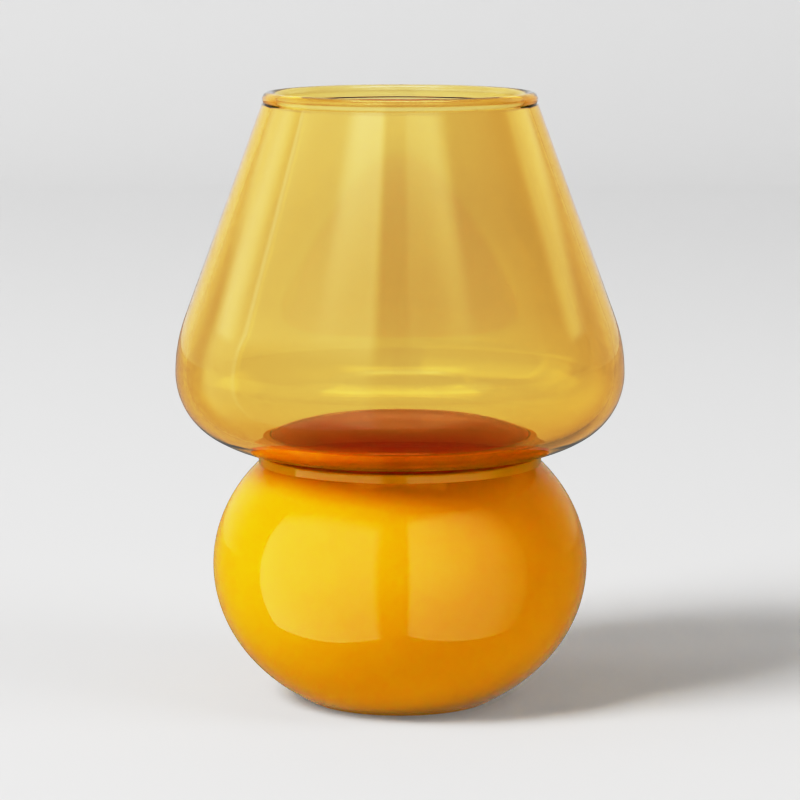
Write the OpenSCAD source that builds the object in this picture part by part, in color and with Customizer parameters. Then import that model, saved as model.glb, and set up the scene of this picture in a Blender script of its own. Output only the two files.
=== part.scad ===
// Mushroom-shaped tealight holder: a clear amber glass shade that stands, by a shallow
// ground foot, in the recessed top of a squat opaque glass base.
// The origin is the centre of the foot on the table, +Z is up, sizes are in millimetres.

/* [Shade] */
// Widest diameter of the shade
shade_d = 100; // [96:0.5:110]
// Height of the rim above the bottom of the shade's curve
shade_h = 80.4; // [70:0.1:90]
// Thickness of the blown wall
wall = 2.2; // [1.8:0.1:2.6]
// Radius of the big curve under the shade
underside_r = 30; // [26:0.5:32]
// Slope at which the underside turns into the shoulder, in degrees
underside_angle = 31; // [28:1:33]
// Radius of the round shoulder, below the widest point
shoulder_r = 16.4; // [15:0.1:17]
// Radius of the curve above the widest point
upper_r = 35.5; // [30:0.5:40]
// Lean of the straight wall from upright, in degrees
wall_angle = 20.1; // [18:0.1:20.5]
// Thickness of the fire-polished bead round the mouth
bead_d = 3; // [2.8:0.1:3.4]
// Thickness of the glass in the flat middle of the floor, above the bottom of the curve
floor_h = 6.7; // [5:0.1:7.5]
// Radius of the flat middle of the floor, where the tealight stands
pad_r = 14; // [12:0.5:16]
// Radius of the groove inside, where the domed floor meets the wall
groove_r = 29.6; // [29:0.1:30.5]

/* [Seat] */
// Radius of the ground foot under the shade
foot_r = 28; // [25:0.5:28]
// Height of the foot below the shade's curve
foot_h = 0.9; // [0.6:0.1:1.2]
// Sideways clearance between the foot and the recess
seat_gap = 0.3; // [0.2:0.05:0.4]
// Upright gap of the seam between the shade and the lip of the base
seam_gap = 0.2; // [0.1:0.05:0.3]
// Radius of the rounding on the lip of the base
lip_round = 0.4; // [0.3:0.1:0.7]
// Height of the upright collar at the top of the base
collar_h = 1.9; // [1:0.1:2.2]

/* [Base] */
// Widest diameter of the base
base_d = 83.8; // [80:0.2:90]
// Height of the lip of the base above the table
base_h = 55.5; // [52:0.5:58]
// Height of the widest point above the table
belly_z = 30.6; // [29:0.2:32]
// Half height of the oval that the outside follows
oval_h = 35; // [34:0.1:36]
// Thickness of the glass at the belly
base_wall = 3.6; // [3:0.1:5]
// Thickness of the glass under the recess
seat_wall = 4; // [3:0.1:5]
// Thickness of the glass round the hole in the foot
foot_wall = 4; // [3:0.1:5]
// Radius of the hole in the foot, where the blowing iron was cracked off
hole_r = 12; // [9:0.5:14]
// Squareness of the hollow, where 2 is an ellipse
hollow_power = 2.5; // [2:0.1:3]

/* [Hidden] */

$fn = 96;
// Straight pieces in each drawn curve
steps = 20;

shade_color = [0.89, 0.76, 0.35, 0.6];
base_color = [0.93, 0.66, 0.05];

// The shade's profile is drawn with its underside curve at height 0
curve_z = base_h + seam_gap;
seat_z = curve_z - foot_h;
shade_r = shade_d / 2;
bead_r = bead_d / 2;
turn_r = shade_r - shoulder_r;
floor_r = turn_r - (underside_r - shoulder_r) * sin(underside_angle);
belt_z = underside_r - (underside_r - shoulder_r) * cos(underside_angle);
upper_x = shade_r - upper_r;
wall_top = shade_h - bead_r;

// The floor falls from its flat middle to the groove on one round curve
groove_angle = asin((groove_r - floor_r) / (underside_r - wall));
floor_drop = floor_h - underside_r + (underside_r - wall) * cos(groove_angle);
floor_round = (pow(groove_r - pad_r, 2) + pow(floor_drop, 2)) / (2 * floor_drop);
floor_fall = asin((groove_r - pad_r) / floor_round);

base_r = base_d / 2;
recess_r = foot_r + seat_gap;
lip_z = base_h - lip_round;
collar_z = base_h - collar_h;
collar_r = oval_r(collar_z);
lip_x = collar_r - lip_round;
hollow_r = base_r - base_wall;
hollow_top = seat_z - seat_wall - belly_z;
hollow_bottom = belly_z - foot_wall;

// Points on a circle about [x, z], from one angle to another
function arc(x, z, r, from, to) =
    [for (i = [0:steps]) let (a = from + (to - from) * i / steps) [x + r * cos(a), z + r * sin(a)]];

// Radius of the outside of the base at a height
function oval_r(z) = base_r * sqrt(1 - pow((z - belly_z) / oval_h, 2));

// Angle on the base's outer oval at a height
function oval_angle(z) = asin((z - belly_z) / oval_h);

// Points on the outer oval of the base between two heights
function oval(from, to) =
    [for (i = [0:steps])
        let (a = oval_angle(from) + (oval_angle(to) - oval_angle(from)) * i / steps)
        [base_r * cos(a), belly_z + oval_h * sin(a)]];

// Height of the hollow's surface above or below the belly, at a radius
function hollow_z(r, h) = h * pow(1 - pow(r / hollow_r, hollow_power), 1 / hollow_power);

// Points along the hollow above or below the belly, closer together where it turns steep
function hollow(h, from, to) =
    [for (i = [0:steps])
        let (a = from + (to - from) * i / steps, r = hollow_r * sin(a))
        [r, belly_z + hollow_z(r, h)]];

// Radius at a height on the straight wall that leaves the upper curve of radius r
function wall_x(z, r) = upper_x + r / cos(wall_angle) - (z - belt_z) * tan(wall_angle);

// One side of the shade up to the mouth, inset from the outside by t, from an angle underneath
function shade_side(t, from) = concat(
    arc(floor_r, underside_r, underside_r - t, from, underside_angle - 90),
    arc(turn_r, belt_z, shoulder_r - t, underside_angle - 90, 0),
    arc(upper_x, belt_z, upper_r - t, 0, wall_angle),
    [[wall_x(wall_top, upper_r - t), wall_top]]
);

// Points on the domed floor, from the groove in to the flat middle
function floor_dome() =
    let (dome = arc(pad_r, floor_h - floor_round, floor_round, 90 - floor_fall, 90))
    [for (i = [1:steps]) dome[i]];

function reversed(points) = [for (i = [len(points) - 1:-1:0]) points[i]];

module shade_profile() {
    polygon(concat(
        [[0, 0]],
        shade_side(0, -90),
        reversed(shade_side(wall, groove_angle - 90)),
        floor_dome(),
        [[0, floor_h]]
    ));
    translate([wall_x(wall_top, upper_r - wall / 2), wall_top])
        circle(r = bead_r);
    translate([0, -foot_h])
        square([foot_r, foot_h + wall / 2]);
}

module shade() {
    color(shade_color)
        translate([0, 0, curve_z])
            rotate_extrude()
                shade_profile();
}

module base_profile() {
    difference() {
        union() {
            polygon(concat(
                [[0, 0]],
                oval(0, belly_z),
                oval(belly_z, collar_z),
                [[collar_r, lip_z], [0, lip_z]]
            ));
            translate([0, lip_z])
                square([lip_x, lip_round]);
            translate([lip_x, lip_z])
                circle(r = lip_round);
        }
        translate([0, seat_z])
            square([recess_r, base_h]);
        polygon(concat(hollow(hollow_top, 0, 90), hollow(-hollow_bottom, 90, 0)));
        translate([0, -1])
            square([hole_r, belly_z]);
    }
}

module base() {
    color(base_color)
        rotate_extrude()
            base_profile();
}

shade();
base();
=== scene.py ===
import math
import bpy
import bmesh
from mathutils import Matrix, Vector


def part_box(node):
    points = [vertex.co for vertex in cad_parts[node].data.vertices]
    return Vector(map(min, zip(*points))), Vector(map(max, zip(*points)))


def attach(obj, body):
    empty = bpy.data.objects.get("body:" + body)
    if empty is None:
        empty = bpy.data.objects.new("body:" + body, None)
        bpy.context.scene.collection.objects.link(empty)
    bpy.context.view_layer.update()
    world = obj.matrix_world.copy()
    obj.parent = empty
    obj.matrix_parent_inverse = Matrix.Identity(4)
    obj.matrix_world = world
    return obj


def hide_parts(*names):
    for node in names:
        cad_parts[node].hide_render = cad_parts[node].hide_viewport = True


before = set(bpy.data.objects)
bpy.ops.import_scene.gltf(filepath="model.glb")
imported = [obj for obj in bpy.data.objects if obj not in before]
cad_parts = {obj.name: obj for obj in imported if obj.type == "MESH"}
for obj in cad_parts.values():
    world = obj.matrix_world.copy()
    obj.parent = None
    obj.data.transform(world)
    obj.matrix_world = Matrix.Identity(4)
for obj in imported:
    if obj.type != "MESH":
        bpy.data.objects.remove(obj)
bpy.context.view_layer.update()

rad = math.radians
SHADE_LO, SHADE_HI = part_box("shade")
BASE_LO, BASE_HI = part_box("base")

# Points round each turned ring, and straight pieces in each drawn curve
SEGMENTS = 256
STEPS = 40

# Sizes that a box doesn't say, in metres and degrees, as in the CAD
WALL = 0.0022
UNDERSIDE_R = 0.030
UNDERSIDE_ANGLE = 31
SHOULDER_R = 0.0164
UPPER_R = 0.0355
WALL_ANGLE = 20.1
BEAD_R = 0.0015
FOOT_R = 0.028
FOOT_H = 0.0009
FLOOR_H = 0.0067
PAD_R = 0.014
GROOVE_R = 0.0296
SEAT_GAP = 0.0003
LIP_ROUND = 0.0004
COLLAR_H = 0.0019
BELLY_Z = 0.0306
OVAL_H = 0.035
BASE_WALL = 0.0036
SEAT_WALL = 0.004
FOOT_WALL = 0.004
HOLE_R = 0.012
HOLLOW_POWER = 2.5

# Small bevels that the CAD leaves sharp, on both feet and on the edge of the recess
FOOT_BEVEL = 0.0003
RECESS_BEVEL = 0.0002
# About how far the underside curve has risen where the side of the shade's foot meets it
FOOT_TOP = 0.00002
# How far the seat reaches up to the ground foot, so that no film of air shows between them
CONTACT = 0.00003
# Faces this close to the seat's height belong to the seat
SEAT_TOLERANCE = 1e-5
# A ring smaller than this is one point on the axis
POINT_R = 1e-7

SHADE_R = SHADE_HI.x
CURVE_Z = SHADE_LO.z + FOOT_H
TURN_R = SHADE_R - SHOULDER_R
FLOOR_R = TURN_R - (UNDERSIDE_R - SHOULDER_R) * math.sin(rad(UNDERSIDE_ANGLE))
WALL_TOP = SHADE_HI.z - BEAD_R
BASE_R = BASE_HI.x
SEAT_Z = SHADE_LO.z + CONTACT
LIP_Z = BASE_HI.z - LIP_ROUND

# Colours of the glass, each pair being the two ends of a slight unevenness
ORANGE_DEEP = (0.84, 0.45, 0.012)
ORANGE_LIGHT = (0.87, 0.48, 0.018)
# The seat's pair is painted light: redder and brighter than the orange glass, standing in for
# how the seat looks lit through the amber floor
SEAT_PAINTED_DEEP = (0.95, 0.21, 0.07)
SEAT_PAINTED_LIGHT = (1.0, 0.27, 0.08)
# What is left of white light in the amber glass, and how fast it gets there
AMBER = (0.968, 0.84, 0.38)
AMBER_DENSITY = 560
# Heights between which the base's worn foot turns into smooth glass, and roughness at both
WORN_Z = (0.0004, 0.0022)
WORN_ROUGH = (0.45, 0.04)
# Grey of the studio paper, and its own glow at places from the object back to the wall
PAPER = 0.8
GLOW = [(0, 0), (0.2, 0), (0.7, 0.02), (1, 0.08)]

# The floor sheet lies a hair below the foot, so that the two faces don't share a plane
FLOOR_Z = -0.00002
ROOM_HALF = 4
CURVE_Y, CURVE_R = 1.4, 0.6
WALL_Y, WALL_HIGH = CURVE_Y + CURVE_R, 2.5
WORLD = 0.35

CAMERA_PLACE = (0, -0.8074, 0.1822)
CAMERA_DOWN = 8.093
LENS = 164.4
# The finished picture's brightness against the scene's
TONE = [
    (0, 0), (0.03, 0.002), (0.06, 0.009), (0.115, 0.045), (0.215, 0.105), (0.389, 0.3),
    (0.512, 0.5), (0.657, 0.69), (0.83, 0.83), (1.09, 0.93), (1.6, 1.0),
]

# Brightness ramps of the softboxes, from left to right or from low to high
LEFT_ACROSS = [(0, 0), (0.08, 1), (0.92, 1), (1, 0)]
LEFT_UP = [(0, 0.28), (0.6, 0.28), (0.76, 0.75), (0.86, 1.1), (1, 1.1)]
RIGHT_ACROSS = [(0, 0), (0.06, 1), (0.5, 0.85), (1, 0.2)]
RIGHT_UP = [(0, 0.3), (0.6, 0.4), (0.68, 0.8), (0.76, 2), (1, 2)]
BASE_UP = [(0, 1), (0.8, 1), (1, 0.1)]
TOP_ACROSS = [(0, 0), (0.25, 1), (0.75, 1), (1, 0)]
TOP_UP = [(0, 0), (0.35, 1), (1, 1)]
SIDE_ACROSS = [(0, 0), (0.4, 1), (0.97, 1), (1, 0)]
SIDE_UP = [(0, 0), (0.45, 0.7), (0.6, 1), (1, 0.1)]
BACK_ACROSS = [(0, 0), (0.3, 1), (0.7, 1), (1, 0)]
CARD_UP = [(0, 1), (0.7, 1), (1, 0)]
CORNER_UP = [(0, 0), (0.12, 1), (1, 0.5)]

# Left, right, low and high edges of the softboxes
LEFT_EDGES = (-0.74, 0.265, -0.535, 0.67)
RIGHT_EDGES = (-0.3, 0.555, -0.515, 0.83)
TOP_EDGES = (-0.55, 0.55, 0.40, 0.75)
SIDE_EDGES = (-0.15, 0.20, -0.5, 0.7)
CARD_EDGES = (-0.35, 0.35, -0.9, 1.0)
CORNER_EDGES = (-0.35, 0.35, 0.27, 0.9)

# Upright softboxes, each reflected in one piece only:
# name, piece, azimuth, distance, edges, brightness, ramp across, ramp up
PANELS = [
    ("left_shade_glass", "shade", -38, 0.5, LEFT_EDGES, 1.9, LEFT_ACROSS, LEFT_UP),
    ("left_base_glass", "base", -38, 0.5, LEFT_EDGES, 3.0, LEFT_ACROSS, BASE_UP),
    ("right_shade_glass", "shade", 34, 0.5, RIGHT_EDGES, 0.3, RIGHT_ACROSS, RIGHT_UP),
    ("right_base_glass", "base", 34, 0.5, RIGHT_EDGES, 3.0, RIGHT_ACROSS, BASE_UP),
    ("top_haze", "shade", -3, 0.5, TOP_EDGES, 2.0, TOP_ACROSS, TOP_UP),
    ("side_softbox", "shade", -107, 0.6, SIDE_EDGES, 1.3, SIDE_ACROSS, SIDE_UP),
    ("left_card", "shade", -150, 0.9, CARD_EDGES, 0.15, BACK_ACROSS, CARD_UP),
    ("right_card", "shade", 150, 0.9, CARD_EDGES, 0.15, BACK_ACROSS, CARD_UP),
    ("left_corner", "shade", -115, 0.9, CORNER_EDGES, 1.0, BACK_ACROSS, CORNER_UP),
    ("right_corner", "shade", 118, 0.9, CORNER_EDGES, 1.0, BACK_ACROSS, CORNER_UP),
]
# The softbox over the mouth, reflected in the shade only: distance, size, brightness
OVERHEAD = (1, (0.8, 0.4), 4.2)
# Square lights for the matt surfaces, which never show as a reflection:
# name, azimuth, elevation, distance, side, power
FILLS = [
    ("key", -52, 42, 3, 1.2, 22.0),
    ("left_fill", -95, 18, 2, 1, 1.8),
    ("right_fill", 60, 40, 2, 1, 2.2),
]
# Height of the point that the aimed lights look at
AIM_Z = 0.06


def arc(x, z, r, start, end, steps=STEPS):
    """Points on a circle about (x, z), from one angle to another."""
    angles = [rad(start + (end - start) * i / steps) for i in range(steps + 1)]
    return [(x + r * math.cos(a), z + r * math.sin(a)) for a in angles]


def line(a, b, steps=STEPS):
    """Points evenly spaced from a to b."""
    return [tuple(p + (q - p) * i / steps for p, q in zip(a, b)) for i in range(steps + 1)]


def shade_side(inset, start=-90):
    """One side of the shade up to the mouth, from an angle underneath."""
    reach = UNDERSIDE_R - SHOULDER_R
    belt_z = CURVE_Z + UNDERSIDE_R - reach * math.cos(rad(UNDERSIDE_ANGLE))
    upper_x = SHADE_R - UPPER_R
    corner = UNDERSIDE_ANGLE - 90
    pts = arc(FLOOR_R, CURVE_Z + UNDERSIDE_R, UNDERSIDE_R - inset, start, corner)
    pts += arc(TURN_R, belt_z, SHOULDER_R - inset, corner, 0)[1:]
    pts += arc(upper_x, belt_z, UPPER_R - inset, 0, WALL_ANGLE)[1:]
    x, z = pts[-1]
    top = x - (WALL_TOP - z) * math.tan(rad(WALL_ANGLE))
    return pts + line((x, z), (top, WALL_TOP))[1:]


def floor_dome():
    """The angle of the groove at the wall, and the floor from there in to its flat middle."""
    inner = UNDERSIDE_R - WALL
    groove = math.asin((GROOVE_R - FLOOR_R) / inner)
    groove_z = UNDERSIDE_R - inner * math.cos(groove)
    drop, run = FLOOR_H - groove_z, GROOVE_R - PAD_R
    curve = (run ** 2 + drop ** 2) / (2 * drop)
    fall = math.degrees(math.asin(run / curve))
    dome = arc(PAD_R, CURVE_Z + FLOOR_H - curve, curve, 90 - fall, 90)
    return math.degrees(groove) - 90, dome


def shade_profile():
    """Half profile of the shade, from the axis under the foot round to the axis inside."""
    groove, dome = floor_dome()
    outer = [p for p in shade_side(0) if p[0] > FOOT_R]
    inner = shade_side(WALL, groove)
    foot = [
        (0, SHADE_LO.z), (FOOT_R - FOOT_BEVEL, SHADE_LO.z),
        (FOOT_R, SHADE_LO.z + FOOT_BEVEL), (FOOT_R, CURVE_Z + FOOT_TOP),
    ]
    bead = arc((outer[-1][0] + inner[-1][0]) / 2, WALL_TOP, BEAD_R, -40, 220, 28)
    middle = line(dome[-1], (0, CURVE_Z + FLOOR_H), 12)[1:]
    return foot + outer[:-1] + bead + list(reversed(inner[:-1])) + dome[1:] + middle


def oval(start, end):
    """Points on the base's outer oval between two heights."""
    a, b = (math.asin((z - BELLY_Z) / OVAL_H) for z in (start, end))
    angles = [a + (b - a) * i / STEPS for i in range(STEPS + 1)]
    return [(BASE_R * math.cos(t), BELLY_Z + OVAL_H * math.sin(t)) for t in angles]


def hollow(height, start, end):
    """Points along the hollow above or below the belly."""
    pts = []
    for i in range(STEPS + 1):
        s = math.sin(rad(start + (end - start) * i / STEPS))
        z = height * max(0, 1 - s ** HOLLOW_POWER) ** (1 / HOLLOW_POWER)
        pts.append(((BASE_R - BASE_WALL) * s, BELLY_Z + z))
    return pts


def base_outside(hole_top):
    """Down the hole in the foot, up the outside and over the lip to the middle of the seat."""
    side = oval(0, BELLY_Z) + oval(BELLY_Z, BASE_HI.z - COLLAR_H)[1:]
    collar_r = side[-1][0]
    lip = line(side[-1], (collar_r, LIP_Z), 6)[1:]
    lip += arc(collar_r - LIP_ROUND, LIP_Z, LIP_ROUND, 0, 90, 10)[1:]
    recess_r = FOOT_R + SEAT_GAP
    recess = [
        (recess_r + RECESS_BEVEL, BASE_HI.z), (recess_r, BASE_HI.z - RECESS_BEVEL),
        (recess_r, SEAT_Z), (0, SEAT_Z),
    ]
    hole = [(HOLE_R, hole_top), (HOLE_R, FOOT_BEVEL), (HOLE_R + FOOT_BEVEL, 0)]
    return hole + side + lip + recess


def base_inside():
    """The hollow, from its top on the axis down to the hole in the foot."""
    bottom = hollow(FOOT_WALL - BELLY_Z, 90, 0)[1:]
    return hollow(SEAT_Z - SEAT_WALL - BELLY_Z, 0, 90) + [p for p in bottom if p[0] > HOLE_R]


def mesh_piece(name, bm, smooth_angle=30):
    """An object with smooth faces and sharp edges where they turn by more than the angle."""
    bmesh.ops.recalc_face_normals(bm, faces=bm.faces)
    mesh = bpy.data.meshes.new(name)
    bm.to_mesh(mesh)
    bm.free()
    for polygon in mesh.polygons:
        polygon.use_smooth = True
    mesh.set_sharp_from_angle(angle=rad(smooth_angle))
    piece = bpy.data.objects.new(name, mesh)
    bpy.context.scene.collection.objects.link(piece)
    return piece


def ring(bm, r, z):
    """A ring of points, or one point on the axis."""
    if r < POINT_R:
        return [bm.verts.new((0, 0, z))]
    turns = [2 * math.pi * k / SEGMENTS for k in range(SEGMENTS)]
    return [bm.verts.new((r * math.cos(a), r * math.sin(a), z)) for a in turns]


def join(bm, a, b):
    """Faces between two rings, as a fan where one of them is a point."""
    for k in range(SEGMENTS):
        n = (k + 1) % SEGMENTS
        if len(a) == 1:
            bm.faces.new((a[0], b[k], b[n]))
        elif len(b) == 1:
            bm.faces.new((a[k], a[n], b[0]))
        else:
            bm.faces.new((a[k], a[n], b[n], b[k]))


def lathe(name, chains, closed):
    """A solid turned about Z from the chains of its half profile, closed at the end or not."""
    bm = bmesh.new()
    turned = [[ring(bm, r, z) for r, z in chain] for chain in chains]
    for rings in turned:
        for a, b in zip(rings, rings[1:]):
            join(bm, a, b)
    if closed:
        join(bm, turned[-1][-1], turned[0][0])
    return mesh_piece(name, bm)


def node(tree, kind, **values):
    made = tree.nodes.new(kind)
    for key, value in values.items():
        setattr(made, key, value)
    return made


def dial(shader, **values):
    """Set a node's own sockets, with _ for each space in a socket's name."""
    for key, value in values.items():
        shader.inputs[key.replace("_", " ")].default_value = value


def new_material(name):
    mat = bpy.data.materials.new(name)
    mat.use_nodes = True
    return mat, mat.node_tree, mat.node_tree.nodes["Principled BSDF"]


def noise(tree, scale, detail, rough=0.5):
    coords = node(tree, "ShaderNodeTexCoord")
    tex = node(tree, "ShaderNodeTexNoise")
    dial(tex, Scale=scale, Detail=detail, Roughness=rough)
    tree.links.new(coords.outputs["Object"], tex.inputs["Vector"])
    return tex.outputs["Fac"]


def coordinate(tree, axis):
    """One of the piece's own coordinates."""
    split = node(tree, "ShaderNodeSeparateXYZ")
    tree.links.new(node(tree, "ShaderNodeTexCoord").outputs["Object"], split.inputs[0])
    return split.outputs[axis]


def blend(tree, factor, a, b):
    """A colour between two others."""
    mix = node(tree, "ShaderNodeMix", data_type="RGBA")
    dial(mix, A=(*a, 1), B=(*b, 1))
    tree.links.new(factor, mix.inputs["Factor"])
    return mix.outputs["Result"]


def spread(tree, value, source, target):
    """A value moved from one range to another."""
    reach = node(tree, "ShaderNodeMapRange")
    dial(reach, From_Min=source[0], From_Max=source[1], To_Min=target[0], To_Max=target[1])
    tree.links.new(value, reach.inputs["Value"])
    return reach.outputs["Result"]


def ripple(tree, bsdf, scale, strength):
    """Gentle unevenness of hand-blown glass."""
    bump = node(tree, "ShaderNodeBump")
    dial(bump, Strength=strength, Distance=0.001)
    tree.links.new(noise(tree, scale, 1.0), bump.inputs["Height"])
    tree.links.new(bump.outputs["Normal"], bsdf.inputs["Normal"])


def amber_glass():
    """Clear glass that takes its colour from its own thickness."""
    mat, tree, bsdf = new_material("amber_glass")
    dial(bsdf, Base_Color=(1, 1, 1, 1), Transmission_Weight=1, Roughness=0, IOR=1.5)
    soak = node(tree, "ShaderNodeVolumeAbsorption")
    dial(soak, Color=(*AMBER, 1), Density=AMBER_DENSITY)
    tree.links.new(soak.outputs[0], tree.nodes["Material Output"].inputs["Volume"])
    ripple(tree, bsdf, 28, 0.03)
    return mat


def opaque_glass():
    """Orange glass with slightly uneven colour and a foot worn matt."""
    mat, tree, bsdf = new_material("opaque_glass")
    dial(bsdf, IOR=1.5, Specular_IOR_Level=0.25, Subsurface_Weight=0.6)
    dial(bsdf, Subsurface_Radius=(1.0, 0.3, 0.05), Subsurface_Scale=0.01)
    cloud = noise(tree, 45, 4.0, 0.6)
    tint = blend(tree, spread(tree, cloud, (0.3, 0.7), (0, 1)), ORANGE_DEEP, ORANGE_LIGHT)
    tree.links.new(tint, bsdf.inputs["Base Color"])
    worn = spread(tree, coordinate(tree, "Z"), WORN_Z, WORN_ROUGH)
    tree.links.new(worn, bsdf.inputs["Roughness"])
    ripple(tree, bsdf, 22, 0.04)
    return mat


def ground_seat():
    """The glass ground flat in the recess, in two tones of fine grain, with painted light:
    redder and brighter than the orange glass, standing in for how the seat looks lit through the
    amber floor.
    """
    mat, tree, bsdf = new_material("ground_seat")
    dial(bsdf, Roughness=0.8, Specular_IOR_Level=0)
    grain = noise(tree, 900, 2.0)
    tree.links.new(blend(tree, grain, SEAT_PAINTED_DEEP, SEAT_PAINTED_LIGHT), bsdf.inputs["Base Color"])
    return mat


def trace(mapping, curve, points):
    """Draw a curve widget through its points."""
    curve[0].location, curve[1].location = points[0], points[-1]
    for x, y in points[1:-1]:
        curve.new(x, y)
    mapping.update()


def studio_paper():
    """Matt paper that gets a little brighter towards the wall, as if it had its own light."""
    mat, tree, bsdf = new_material("paper")
    dial(bsdf, Base_Color=(PAPER, PAPER, PAPER, 1), Roughness=0.9, Specular_IOR_Level=0)
    dial(bsdf, Emission_Color=(1, 1, 1, 1))
    ramp = node(tree, "ShaderNodeFloatCurve")
    trace(ramp.mapping, ramp.mapping.curves[0].points, GLOW)
    depth = spread(tree, coordinate(tree, "Y"), (0, WALL_Y), (0, 1))
    tree.links.new(depth, ramp.inputs["Value"])
    tree.links.new(ramp.outputs["Value"], bsdf.inputs["Emission Strength"])
    return mat


def strip(name, points, mat):
    """A sheet of paper as wide as the room, through the given places (y, z)."""
    bm = bmesh.new()
    rows = [[bm.verts.new((x, y, z)) for x in (-ROOM_HALF, ROOM_HALF)] for y, z in points]
    for a, b in zip(rows, rows[1:]):
        bm.faces.new((a[0], a[1], b[1], b[0]))
    piece = mesh_piece(name, bm, 60)
    piece.data.materials.append(mat)
    return piece


def light_profile(tree, axis, stops):
    """A brightness ramp over a softbox, along its width (0) or its height (1)."""
    place = node(tree, "ShaderNodeNewGeometry")
    split = node(tree, "ShaderNodeSeparateXYZ")
    tree.links.new(place.outputs["Parametric"], split.inputs[0])
    ramp = node(tree, "ShaderNodeValToRGB")
    ramp.color_ramp.interpolation = "EASE"
    points = ramp.color_ramp.elements
    while len(points) < len(stops):
        points.new(0.5)
    for point, (where, level) in zip(points, stops):
        point.position = where
        point.color = (level, level, level, 1)
    tree.links.new(split.outputs[axis], ramp.inputs["Fac"])
    return ramp.outputs["Color"]


def shape_light(light, across, up):
    """Multiply a softbox's brightness by a ramp over its width and one over its height."""
    light.use_nodes = True
    tree = light.node_tree
    mix = node(tree, "ShaderNodeMixRGB", blend_type="MULTIPLY")
    dial(mix, Fac=1)
    tree.links.new(light_profile(tree, 0, across), mix.inputs["Color1"])
    tree.links.new(light_profile(tree, 1, up), mix.inputs["Color2"])
    tree.links.new(mix.outputs["Color"], tree.nodes["Emission"].inputs["Color"])


def softbox(name, place, away, size, radiance, mirrored):
    """A rectangular light with its back to a direction, for reflections or for matt surfaces."""
    light = bpy.data.lights.new(name, "AREA")
    light.shape = "RECTANGLE"
    light.size, light.size_y = size
    light.energy = radiance * math.pi * size[0] * size[1]
    lamp = bpy.data.objects.new(name, light)
    lamp.location = place
    lamp.rotation_euler = Vector(away).to_track_quat("Z", "Y").to_euler()
    lamp.visible_camera = False
    lamp.visible_glossy = mirrored
    lamp.visible_transmission = mirrored
    lamp.visible_diffuse = not mirrored
    bpy.context.scene.collection.objects.link(lamp)
    return lamp


def only(lamp, piece):
    """Let a light reach one piece and nothing else."""
    group = bpy.data.collections.new(lamp.name)
    group.objects.link(piece)
    lamp.light_linking.receiver_collection = group


def panel(name, piece, azimuth, distance, edges, radiance, across, up):
    """An upright softbox that is reflected in one piece.

    Azimuth 0 is towards the camera and + is to the right. Left and right edges are as seen
    from the object.
    """
    a = rad(azimuth)
    left, right, low, high = edges
    away = Vector((math.sin(a), -math.cos(a), 0))
    side = Vector((math.cos(a), math.sin(a), 0))
    place = away * distance + side * (left + right) / 2 + Vector((0, 0, (low + high) / 2))
    lamp = softbox(name, place, away, (right - left, high - low), radiance, True)
    shape_light(lamp.data, across, up)
    only(lamp, piece)


def aimed(name, azimuth, elevation, distance, size, radiance, mirrored=False):
    """A softbox that looks at the middle of the object."""
    a, e = rad(azimuth), rad(elevation)
    away = Vector((math.sin(a) * math.cos(e), -math.cos(a) * math.cos(e), math.sin(e)))
    place = away * distance + Vector((0, 0, AIM_Z))
    return softbox(name, place, away, size, radiance, mirrored)


def make_camera():
    cam = bpy.data.cameras.new("camera")
    cam.sensor_width = 36
    cam.lens = LENS
    cam.clip_start = 0.01
    piece = bpy.data.objects.new("camera", cam)
    piece.location = CAMERA_PLACE
    piece.rotation_euler = (rad(90 - CAMERA_DOWN), 0, 0)
    bpy.context.scene.collection.objects.link(piece)
    bpy.context.scene.camera = piece


def make_room():
    """Floor and wall of paper with a round corner between them, in an even white world."""
    paper = studio_paper()
    floor = strip("floor", [(-ROOM_HALF, FLOOR_Z), (CURVE_Y, FLOOR_Z)], paper)
    # The floor would hide the low parts of the softboxes from the glass
    floor.visible_glossy = False
    rise = arc(CURVE_Y, FLOOR_Z + CURVE_R, CURVE_R, -90, 0, 18)
    strip("backdrop", rise + [(WALL_Y, WALL_HIGH)], paper)
    world = bpy.data.worlds.new("studio")
    bpy.context.scene.world = world
    world.use_nodes = True
    dial(world.node_tree.nodes["Background"], Color=(1, 1, 1, 1), Strength=WORLD)


def make_lights(pieces):
    for name, piece, *how in PANELS:
        panel(name, pieces[piece], *how)
    distance, size, radiance = OVERHEAD
    only(aimed("overhead", 0, 90, distance, size, radiance, mirrored=True), pieces["shade"])
    for name, azimuth, elevation, distance, side, power in FILLS:
        aimed(name, azimuth, elevation, distance, (side, side), power / side ** 2)


def make_shade():
    piece = lathe("shade_glass", [shade_profile()], closed=False)
    piece.data.materials.append(amber_glass())
    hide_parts("shade")
    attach(piece, "shade")
    return piece


def make_base():
    inside = base_inside()
    piece = lathe("base_glass", [base_outside(inside[-1][1]), inside], closed=True)
    piece.data.materials.append(opaque_glass())
    piece.data.materials.append(ground_seat())
    for polygon in piece.data.polygons:
        if abs(polygon.center.z - SEAT_Z) < SEAT_TOLERANCE:
            polygon.material_index = 1
    # Keeps the orange out of the shadow on the floor
    piece.visible_diffuse = False
    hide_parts("base")
    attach(piece, "base")
    return piece


def tone(points):
    """Contrast of the finished picture, as a curve over each channel."""
    view = bpy.context.scene.view_settings
    view.view_transform = "Standard"
    view.use_curve_mapping = True
    view.curve_mapping.use_clip = False
    curve = view.curve_mapping.curves[3].points
    trace(view.curve_mapping, curve, points)
    for point in curve:
        point.handle_type = "AUTO_CLAMPED"
    view.curve_mapping.update()


make_camera()
pieces = {"shade": make_shade(), "base": make_base()}
make_room()
make_lights(pieces)
tone(TONE)
cycles = bpy.context.scene.cycles
cycles.max_bounces = 16
cycles.transmission_bounces = 16
cycles.glossy_bounces = 8
